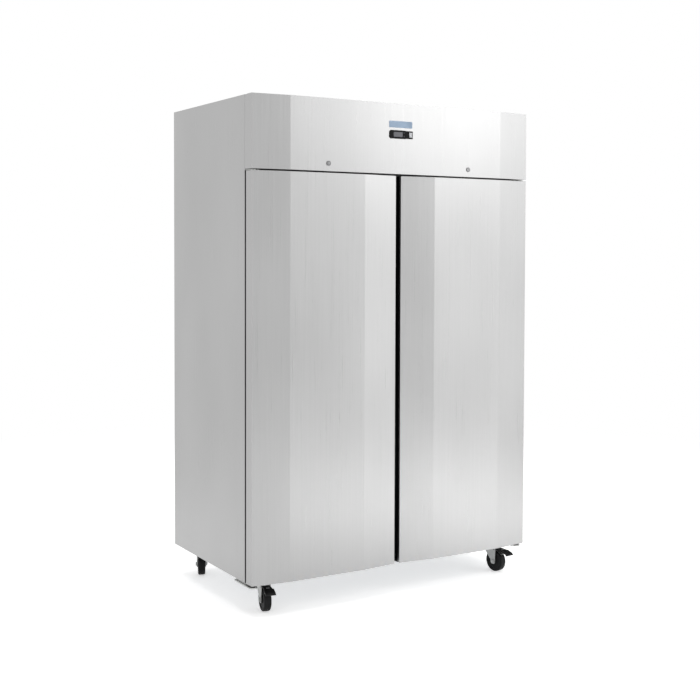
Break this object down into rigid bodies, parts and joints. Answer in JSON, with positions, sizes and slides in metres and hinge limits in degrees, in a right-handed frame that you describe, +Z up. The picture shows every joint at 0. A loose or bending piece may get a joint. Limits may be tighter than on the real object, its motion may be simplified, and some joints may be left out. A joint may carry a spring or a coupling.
{
  "type": "commercial refrigerator",
  "caption": "Upright commercial refrigerator with two folded steel doors, a tilting header over the condensing unit, and swivel castors.",
  "frame": {"origin": "on the floor under the middle of the whole footprint", "axes": "+Z up, +X to the right seen from the front, +Y from the doors to the rear"},
  "size_m": [1.34, 0.7896, 2.025],
  "materials": {
    "stainless": "satin",
    "zinc_sheet": "satin",
    "liner_steel": "satin",
    "light_plastic": "satin",
    "black_plastic": "satin",
    "grey_plastic": "satin",
    "lens": "gloss",
    "key_grey": "satin",
    "gasket_rubber": "matte",
    "foam": "matte",
    "coated_wire": "satin",
    "aluminium": "satin",
    "copper": "satin",
    "compressor_black": "satin",
    "zinc_plated": "satin",
    "wheel_black": "satin",
    "nickel": "satin"
  },
  "bodies": {
    "cabinet": {"left_side_panel": "stainless", "right_side_panel": "stainless", "rear_panel": "zinc_sheet", "rear_grille": "zinc_sheet", "roof_cover": "zinc_sheet", "roof_tray": "zinc_sheet", "base_pan": "zinc_sheet", "insulation": "foam", "inner_liner": "liner_steel", "front_frame": "light_plastic", "mullion": "light_plastic", "hinge_brackets": "zinc_plated", "shelf_uprights": "liner_steel", "shelf_runners": "liner_steel", "wire_shelves": "coated_wire", "evaporator_cover": "aluminium", "evaporator_coil": "aluminium", "temperature_probe": "black_plastic", "condenser_coil": "compressor_black", "fan_motors": "compressor_black", "compressor": "compressor_black", "refrigerant_pipes": "copper", "electrical_box": "grey_plastic", "mains_gland": "black_plastic", "castor_plates": "zinc_plated"},
    "header": {"header_fascia": "stainless", "controller": "black_plastic", "controller_display": "lens", "rocker_housing": "black_plastic", "lock_bodies": "nickel"},
    "controller_key_up": {"controller_key_up": "key_grey"},
    "controller_key_down": {"controller_key_down": "key_grey"},
    "power_rocker": {"power_rocker": "key_grey"},
    "lock_cylinder_left": {"lock_cylinder_left": "nickel"},
    "lock_cylinder_right": {"lock_cylinder_right": "nickel"},
    "condenser_fan": {"condenser_fan": "black_plastic"},
    "evaporator_fan_left": {"evaporator_fan_left": "black_plastic"},
    "evaporator_fan_right": {"evaporator_fan_right": "black_plastic"},
    "door_left": {"door_left_skin": "stainless", "door_left_core": "foam", "door_left_inner_pan": "liner_steel", "door_left_grip": "black_plastic", "door_left_gasket": "gasket_rubber", "door_left_fittings": "black_plastic"},
    "door_right": {"door_right_skin": "stainless", "door_right_core": "foam", "door_right_inner_pan": "liner_steel", "door_right_grip": "black_plastic", "door_right_gasket": "gasket_rubber", "door_right_fittings": "black_plastic"},
    "castor_front_left_swivel": {"castor_front_left_fork": "zinc_plated"},
    "castor_front_left_wheel": {"castor_front_left_wheel": "wheel_black"},
    "castor_front_left_pedal": {"castor_front_left_pedal": "black_plastic"},
    "castor_front_right_swivel": {"castor_front_right_fork": "zinc_plated"},
    "castor_front_right_wheel": {"castor_front_right_wheel": "wheel_black"},
    "castor_front_right_pedal": {"castor_front_right_pedal": "black_plastic"},
    "castor_rear_left_swivel": {"castor_rear_left_fork": "zinc_plated"},
    "castor_rear_left_wheel": {"castor_rear_left_wheel": "wheel_black"},
    "castor_rear_right_swivel": {"castor_rear_right_fork": "zinc_plated"},
    "castor_rear_right_wheel": {"castor_rear_right_wheel": "wheel_black"}
  },
  "joints": [
    {"name": "door_left_hinge", "type": "hinge", "parent": "cabinet", "child": "door_left", "pos_m": [-0.652, -0.3457, 0.929], "axis": [0, 0, -1], "range_deg": [0, 110], "stiffness_Nm_per_rad": 2, "springref_deg": -34.38},
    {"name": "door_right_hinge", "type": "hinge", "parent": "cabinet", "child": "door_right", "pos_m": [0.652, -0.3457, 0.929], "axis": [0, 0, 1], "range_deg": [0, 110], "stiffness_Nm_per_rad": 2, "springref_deg": -34.38},
    {"name": "header_tilt", "type": "hinge", "parent": "cabinet", "child": "header", "pos_m": [0, -0.3187, 2.017], "axis": [-1, 0, 0], "range_deg": [0, 75]},
    {"name": "lock_left_turn", "type": "hinge", "parent": "header", "child": "lock_cylinder_left", "pos_m": [-0.34125, -0.3887, 1.769], "axis": [0, 1, 0], "range_deg": [0, 90]},
    {"name": "lock_right_turn", "type": "hinge", "parent": "header", "child": "lock_cylinder_right", "pos_m": [0.34125, -0.3887, 1.769], "axis": [0, -1, 0], "range_deg": [0, 90]},
    {"name": "power_rocker_tilt", "type": "hinge", "parent": "header", "child": "power_rocker", "pos_m": [0.045, -0.3857, 1.899], "axis": [1, 0, 0], "range_deg": [0, 11]},
    {"name": "key_up_press", "type": "slide", "parent": "header", "child": "controller_key_up", "axis": [0, 1, 0], "range_m": [0, 0.0008], "stiffness_N_per_m": 300},
    {"name": "key_down_press", "type": "slide", "parent": "header", "child": "controller_key_down", "axis": [0, 1, 0], "range_m": [0, 0.0008], "stiffness_N_per_m": 300},
    {"name": "condenser_fan_spin", "type": "hinge", "parent": "cabinet", "child": "condenser_fan", "pos_m": [-0.17, -0.1612, 1.873], "axis": [0, 1, 0], "continuous": true},
    {"name": "evaporator_fan_left_spin", "type": "hinge", "parent": "cabinet", "child": "evaporator_fan_left", "pos_m": [-0.23, 0.1338, 1.619], "axis": [0, 1, 0], "continuous": true},
    {"name": "evaporator_fan_right_spin", "type": "hinge", "parent": "cabinet", "child": "evaporator_fan_right", "pos_m": [0.23, 0.1338, 1.619], "axis": [0, 1, 0], "continuous": true},
    {"name": "castor_front_left_turn", "type": "hinge", "parent": "cabinet", "child": "castor_front_left_swivel", "pos_m": [-0.57, -0.2682, 0.118], "axis": [0, 0, 1], "continuous": true},
    {"name": "castor_front_left_roll", "type": "hinge", "parent": "castor_front_left_swivel", "child": "castor_front_left_wheel", "pos_m": [-0.5763, -0.30059, 0.047], "axis": [0.9816, -0.1908, 0], "continuous": true},
    {"name": "castor_front_left_brake", "type": "hinge", "parent": "castor_front_left_swivel", "child": "castor_front_left_pedal", "pos_m": [-0.57763, -0.30746, 0.098], "axis": [-0.9816, 0.1908, 0], "range_deg": [0, 10]},
    {"name": "castor_front_right_turn", "type": "hinge", "parent": "cabinet", "child": "castor_front_right_swivel", "pos_m": [0.57, -0.2682, 0.118], "axis": [0, 0, 1], "continuous": true},
    {"name": "castor_front_right_roll", "type": "hinge", "parent": "castor_front_right_swivel", "child": "castor_front_right_wheel", "pos_m": [0.57459, -0.30088, 0.047], "axis": [0.9903, 0.1392, 0], "continuous": true},
    {"name": "castor_front_right_brake", "type": "hinge", "parent": "castor_front_right_swivel", "child": "castor_front_right_pedal", "pos_m": [0.57557, -0.30781, 0.098], "axis": [-0.9903, -0.1392, 0], "range_deg": [0, 10]},
    {"name": "castor_rear_left_turn", "type": "hinge", "parent": "cabinet", "child": "castor_rear_left_swivel", "pos_m": [-0.57, 0.3368, 0.118], "axis": [0, 0, 1], "continuous": true},
    {"name": "castor_rear_left_roll", "type": "hinge", "parent": "castor_rear_left_swivel", "child": "castor_rear_left_wheel", "pos_m": [-0.58183, 0.30599, 0.047], "axis": [0.9336, -0.3584, 0], "continuous": true},
    {"name": "castor_rear_right_turn", "type": "hinge", "parent": "cabinet", "child": "castor_rear_right_swivel", "pos_m": [0.57, 0.3368, 0.118], "axis": [0, 0, 1], "continuous": true},
    {"name": "castor_rear_right_roll", "type": "hinge", "parent": "castor_rear_right_swivel", "child": "castor_rear_right_wheel", "pos_m": [0.57573, 0.3043, 0.047], "axis": [0.9848, 0.1736, 0], "continuous": true}
  ]
}
